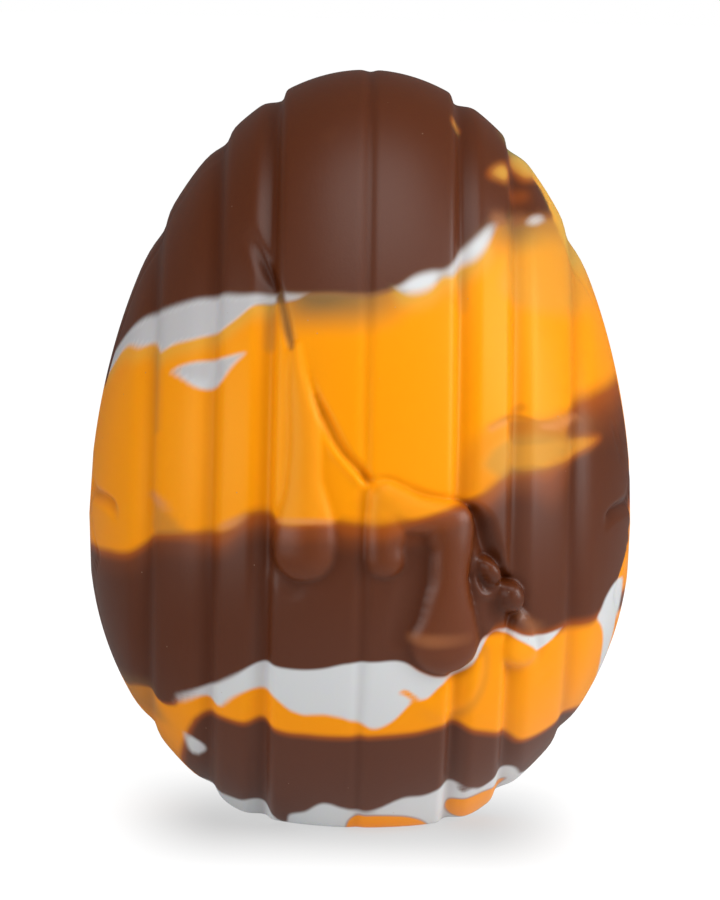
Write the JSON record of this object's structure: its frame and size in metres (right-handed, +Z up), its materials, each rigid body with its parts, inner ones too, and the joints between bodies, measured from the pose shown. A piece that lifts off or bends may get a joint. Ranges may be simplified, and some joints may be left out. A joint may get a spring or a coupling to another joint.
{
  "type": "chocolate egg",
  "caption": "Moulded chocolate egg with plank-like flutes, a crack with drips and beads on the front, standing on its flattened blunt end.",
  "frame": {"origin": "centre of the flat foot that the egg stands on", "axes": "+Z up along the egg from its blunt end to its narrow end, +X to the right as the decorated front is faced, -Y out of the decorated front"},
  "size_m": [0.1102, 0.1119, 0.15],
  "materials": {
    "chocolate": "satin"
  },
  "bodies": {
    "root": {"egg": "chocolate"}
  },
  "joints": []
}
